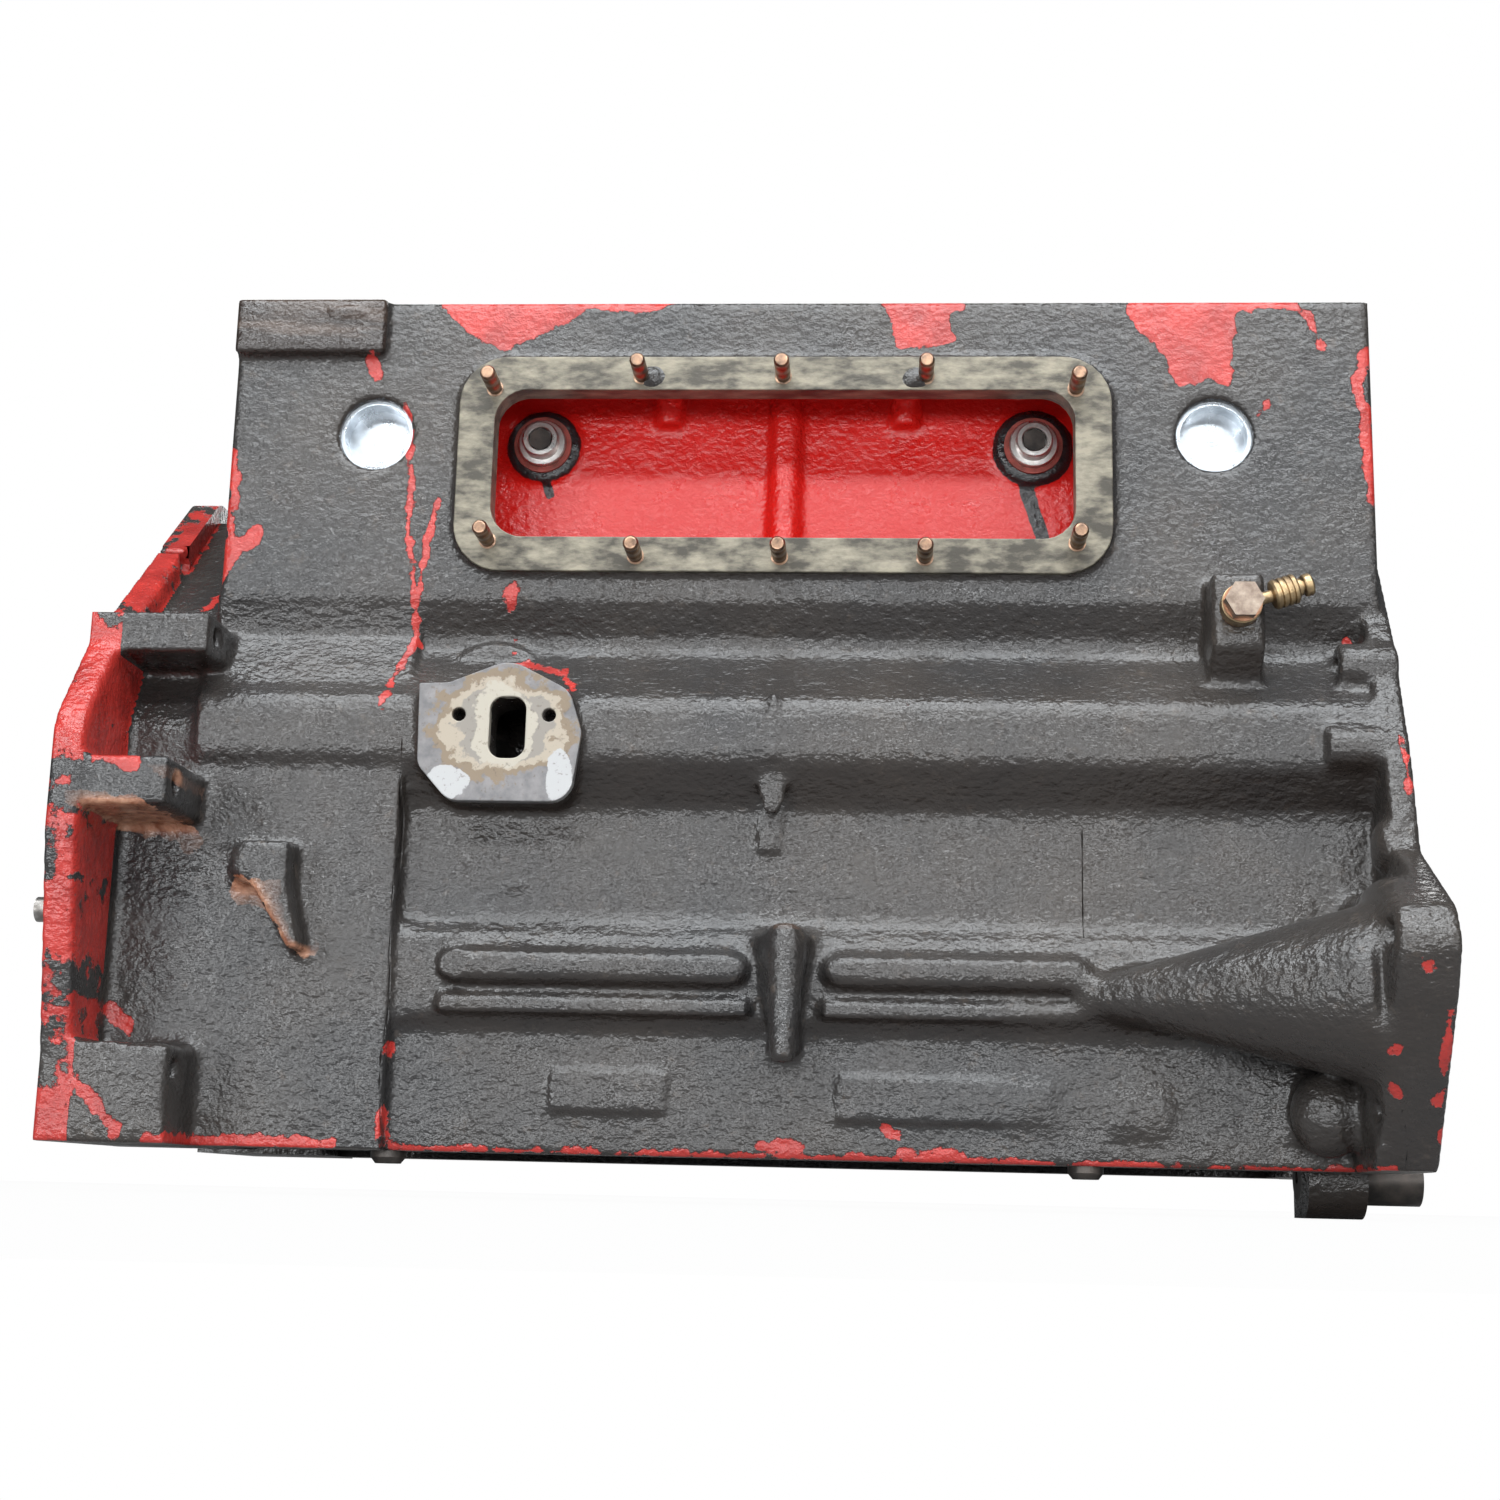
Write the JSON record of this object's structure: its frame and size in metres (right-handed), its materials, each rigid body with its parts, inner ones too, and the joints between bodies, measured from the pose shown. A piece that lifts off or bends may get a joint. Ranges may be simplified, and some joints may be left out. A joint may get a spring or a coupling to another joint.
{
  "type": "engine block",
  "caption": "Cast-iron block of an in-line diesel engine, with liners, bearing caps, core plugs, side-cover studs and a drain tap.",
  "frame": {"origin": "crankshaft line at the middle main bearing", "axes": "+X along the crankshaft to the timing end, +Z along the cylinders to the head, camshaft side faces -Y"},
  "size_m": [0.6677, 0.436, 0.4719],
  "materials": {
    "block_casting": "painted, worn",
    "liner": "machined",
    "cap": "as cast and machined",
    "bolt": "black oxide",
    "steel": "machined",
    "zinc": "zinc plated",
    "seal": "matt",
    "copper": "tarnished",
    "stud": "copper washed",
    "brass": "worn"
  },
  "bodies": {
    "root": {"block_casting": "block_casting", "camshaft_rear_plug": "steel", "chest_plug_front": "bolt", "chest_plug_rear": "bolt", "chest_plug_seal_front": "seal", "chest_plug_seal_rear": "seal", "cover_studs": "stud", "cylinder_liner_1": "liner", "cylinder_liner_2": "liner", "cylinder_liner_3": "liner", "cylinder_liner_4": "liner", "deck_dowels": "steel", "drain_banjo_bolt": "bolt", "drain_tap_body": "brass", "drain_tap_screw": "brass", "drain_washers": "copper", "far_core_plug_front": "zinc", "far_core_plug_rear": "zinc", "idler_shaft": "steel", "main_bearing_cap_1": "cap", "main_bearing_cap_2": "cap", "main_bearing_cap_3": "cap", "main_bearing_cap_4": "cap", "main_bearing_cap_5": "cap", "main_cap_bolts": "bolt", "oil_gallery_plugs": "steel", "rear_flange_dowels": "steel", "side_core_plug_front": "zinc", "side_core_plug_rear": "zinc", "sump_rail_studs": "stud"}
  },
  "joints": []
}
